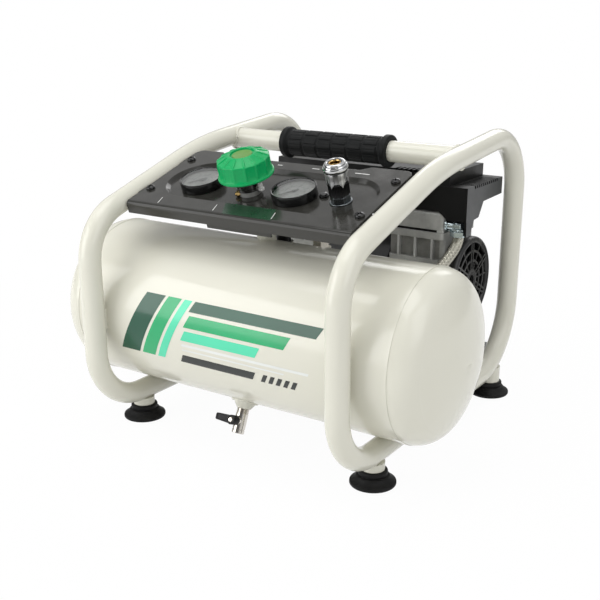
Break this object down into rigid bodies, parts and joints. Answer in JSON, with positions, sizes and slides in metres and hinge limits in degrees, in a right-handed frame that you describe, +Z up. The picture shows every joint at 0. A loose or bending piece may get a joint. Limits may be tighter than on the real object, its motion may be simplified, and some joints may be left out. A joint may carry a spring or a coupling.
{
  "type": "air compressor",
  "caption": "Portable air compressor: horizontal tank in a tube frame with a carry handle, sloping control panel with gauges and regulator knob, quick coupler, drain cock and piston pump.",
  "frame": {"origin": "on the ground under the middle of the outline", "axes": "+Z up, +X along the tank to the operator's right, -Y towards the operator, who faces the panel"},
  "size_m": [0.4782, 0.425, 0.3285],
  "materials": {
    "cream_paint": "gloss",
    "panel_paint": "semi-gloss",
    "tray_paint": "satin",
    "motor_paint": "satin",
    "foot_rubber": "matte",
    "grip_rubber": "matte",
    "green_plastic": "gloss",
    "red_plastic": "gloss",
    "black_plastic": "satin",
    "dial_face": "matte",
    "needle_paint": "matte",
    "gauge_glass": "clear",
    "chrome": "polished",
    "black_steel": "black oxide",
    "brass": "bright",
    "nickel": "nickel plate",
    "cast_aluminium": "as cast",
    "steel": "machined",
    "stator_steel": "laminated",
    "copper_tube": "drawn",
    "braided_steel": "braided"
  },
  "bodies": {
    "frame": {"tank_barrel": "cream_paint", "tank_ends": "cream_paint", "tank_bosses": "cream_paint", "weld_beads": "cream_paint", "frame_loop_left": "cream_paint", "frame_loop_right": "cream_paint", "handle_tube": "cream_paint", "foot_bosses": "cream_paint", "control_panel": "panel_paint", "panel_tabs": "panel_paint", "pump_tray": "tray_paint", "motor_shell": "motor_paint", "rubber_feet": "foot_rubber", "rubber_mounts": "foot_rubber", "handle_grip": "grip_rubber", "intake_cover": "black_plastic", "fan_guards": "black_plastic", "gauge_cases": "black_plastic", "switch_base": "black_plastic", "switch_cover": "black_plastic", "cable_gland": "black_plastic", "gauge_dials": "dial_face", "gauge_lenses": "gauge_glass", "coupler_body": "chrome", "coupler_washer": "chrome", "hose_fittings": "chrome", "regulator_bonnet": "chrome", "panel_screws": "black_steel", "coupler_nut": "black_steel", "coupler_seat": "brass", "safety_valve": "brass", "check_valve": "brass", "riser_pipe": "brass", "drain_valve": "nickel", "crankcases": "cast_aluminium", "cylinder_heads": "cast_aluminium", "regulator_body": "cast_aluminium", "air_manifold": "cast_aluminium", "shaft_bearings": "steel", "cylinder_sleeves": "steel", "valve_plates": "steel", "pump_bolts": "steel", "motor_stator": "stator_steel", "crossover_pipe": "copper_tube", "discharge_hose": "braided_steel"},
    "regulator_knob": {"regulator_knob": "green_plastic"},
    "drain_lever": {"drain_lever": "black_plastic", "drain_ball": "nickel", "drain_screw": "nickel"},
    "coupler_sleeve": {"coupler_sleeve": "chrome"},
    "needle_left": {"gauge_needle_left": "needle_paint"},
    "needle_right": {"gauge_needle_right": "needle_paint"},
    "rotor": {"motor_rotor": "steel", "motor_shaft": "steel", "eccentrics": "steel", "cooling_fans": "black_plastic"},
    "piston_left": {"piston_left": "cast_aluminium"},
    "piston_right": {"piston_right": "cast_aluminium"},
    "switch_knob": {"switch_knob": "red_plastic"},
    "safety_ring": {"safety_ring": "nickel"}
  },
  "joints": [
    {"name": "regulator_turn", "type": "hinge", "parent": "frame", "child": "regulator_knob", "pos_m": [-0.0156, -0.10693, 0.29506], "axis": [0, -0.3016, 0.9534], "range_deg": [-720, 720]},
    {"name": "drain_turn", "type": "hinge", "parent": "frame", "child": "drain_lever", "pos_m": [-0.0025, -0.14341, 0.0348], "axis": [0, -0.9063, 0.4226], "range_deg": [0, 90]},
    {"name": "coupler_slide", "type": "slide", "parent": "frame", "child": "coupler_sleeve", "axis": [0, -0.3016, 0.9534], "range_m": [-0.004, 0], "stiffness_N_per_m": 600, "springref_m": 0.006},
    {"name": "needle_left_swing", "type": "hinge", "parent": "frame", "child": "needle_left", "pos_m": [-0.0805, -0.10003, 0.28151], "axis": [0, -0.3016, 0.9534], "range_deg": [-270, 0]},
    {"name": "needle_right_swing", "type": "hinge", "parent": "frame", "child": "needle_right", "pos_m": [0.0395, -0.10003, 0.28151], "axis": [0, -0.3016, 0.9534], "range_deg": [-270, 0]},
    {"name": "motor_spin", "type": "hinge", "parent": "frame", "child": "rotor", "pos_m": [0, 0.1395, 0.1467], "axis": [1, 0, 0], "continuous": true},
    {"name": "piston_left_stroke", "type": "slide", "parent": "frame", "child": "piston_left", "axis": [0, 0, 1], "range_m": [-0.006, 0.006]},
    {"name": "piston_right_stroke", "type": "slide", "parent": "frame", "child": "piston_right", "axis": [0, 0, 1], "range_m": [-0.006, 0.006]},
    {"name": "switch_pull", "type": "slide", "parent": "frame", "child": "switch_knob", "axis": [0, 0, 1], "range_m": [0, 0.006]},
    {"name": "safety_pull", "type": "slide", "parent": "frame", "child": "safety_ring", "axis": [0, 0, 1], "range_m": [0, 0.003], "stiffness_N_per_m": 2000, "springref_m": -0.002}
  ]
}
